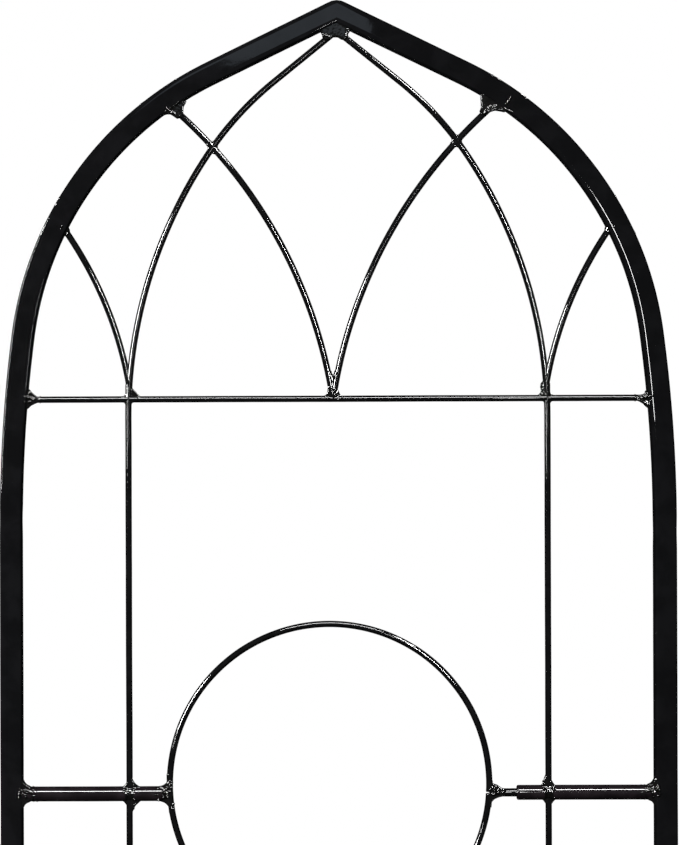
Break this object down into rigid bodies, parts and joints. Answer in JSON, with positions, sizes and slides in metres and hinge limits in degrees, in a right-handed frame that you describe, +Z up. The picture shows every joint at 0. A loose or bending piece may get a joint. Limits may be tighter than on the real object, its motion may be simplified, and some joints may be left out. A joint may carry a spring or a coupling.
{
  "type": "metal trellis arch",
  "caption": "Flat garden trellis panel with a pointed arch top: square-tube frame, bent rod tracery, thin cross bars, a rod ring held on short tubes, and spiked legs.",
  "frame": {"origin": "on the ground line, midway between the two legs and midway through the frame's depth", "axes": "+X to the right seen from the front, +Y to the back, +Z up"},
  "size_m": [0.5716, 0.0206, 1.6551],
  "materials": {
    "frame_paint": "gloss black powder coat on square steel tube, faintly mottled",
    "rod_paint": "gloss black powder coat on round steel rod",
    "tube_paint": "gloss black powder coat on round steel tube",
    "weld_paint": "gloss black powder coat over rough weld beads",
    "spike_paint": "gloss black powder coat on the ground spikes and leg plugs"
  },
  "bodies": {
    "root": {"apex_weld": "weld_paint", "ring": "rod_paint", "ring_link": "rod_paint", "bottom_tube": "tube_paint", "frame_left": "frame_paint", "main_rod_left": "rod_paint", "shoulder_rod_upper_left": "rod_paint", "shoulder_rod_lower_left": "rod_paint", "side_rod_left": "rod_paint", "cross_tube_left": "tube_paint", "cross_stub_left": "tube_paint", "leg_plug_left": "spike_paint", "ground_spike_left": "spike_paint", "frame_right": "frame_paint", "main_rod_right": "rod_paint", "shoulder_rod_upper_right": "rod_paint", "shoulder_rod_lower_right": "rod_paint", "side_rod_right": "rod_paint", "cross_tube_right": "tube_paint", "cross_stub_right": "tube_paint", "leg_plug_right": "spike_paint", "ground_spike_right": "spike_paint", "top_bar_left": "rod_paint", "top_bar_middle": "rod_paint", "top_bar_right": "rod_paint", "lower_bar_left": "rod_paint", "lower_bar_middle": "rod_paint", "lower_bar_right": "rod_paint", "weld_foot": "weld_paint", "weld_shoulder_left": "weld_paint", "weld_side_rod_left": "weld_paint", "weld_crossing_left": "weld_paint", "weld_top_bar_end_left": "weld_paint", "weld_top_bar_left": "weld_paint", "weld_cross_tube_end_left": "weld_paint", "weld_cross_tube_left": "weld_paint", "weld_ring_left": "weld_paint", "weld_lower_bar_end_left": "weld_paint", "weld_lower_bar_left": "weld_paint", "weld_bottom_tube_end_left": "weld_paint", "weld_upright_foot_left": "weld_paint", "weld_shoulder_right": "weld_paint", "weld_side_rod_right": "weld_paint", "weld_crossing_right": "weld_paint", "weld_top_bar_end_right": "weld_paint", "weld_top_bar_right": "weld_paint", "weld_cross_tube_end_right": "weld_paint", "weld_cross_tube_right": "weld_paint", "weld_ring_right": "weld_paint", "weld_lower_bar_end_right": "weld_paint", "weld_lower_bar_right": "weld_paint", "weld_bottom_tube_end_right": "weld_paint", "weld_upright_foot_right": "weld_paint"}
  },
  "joints": []
}
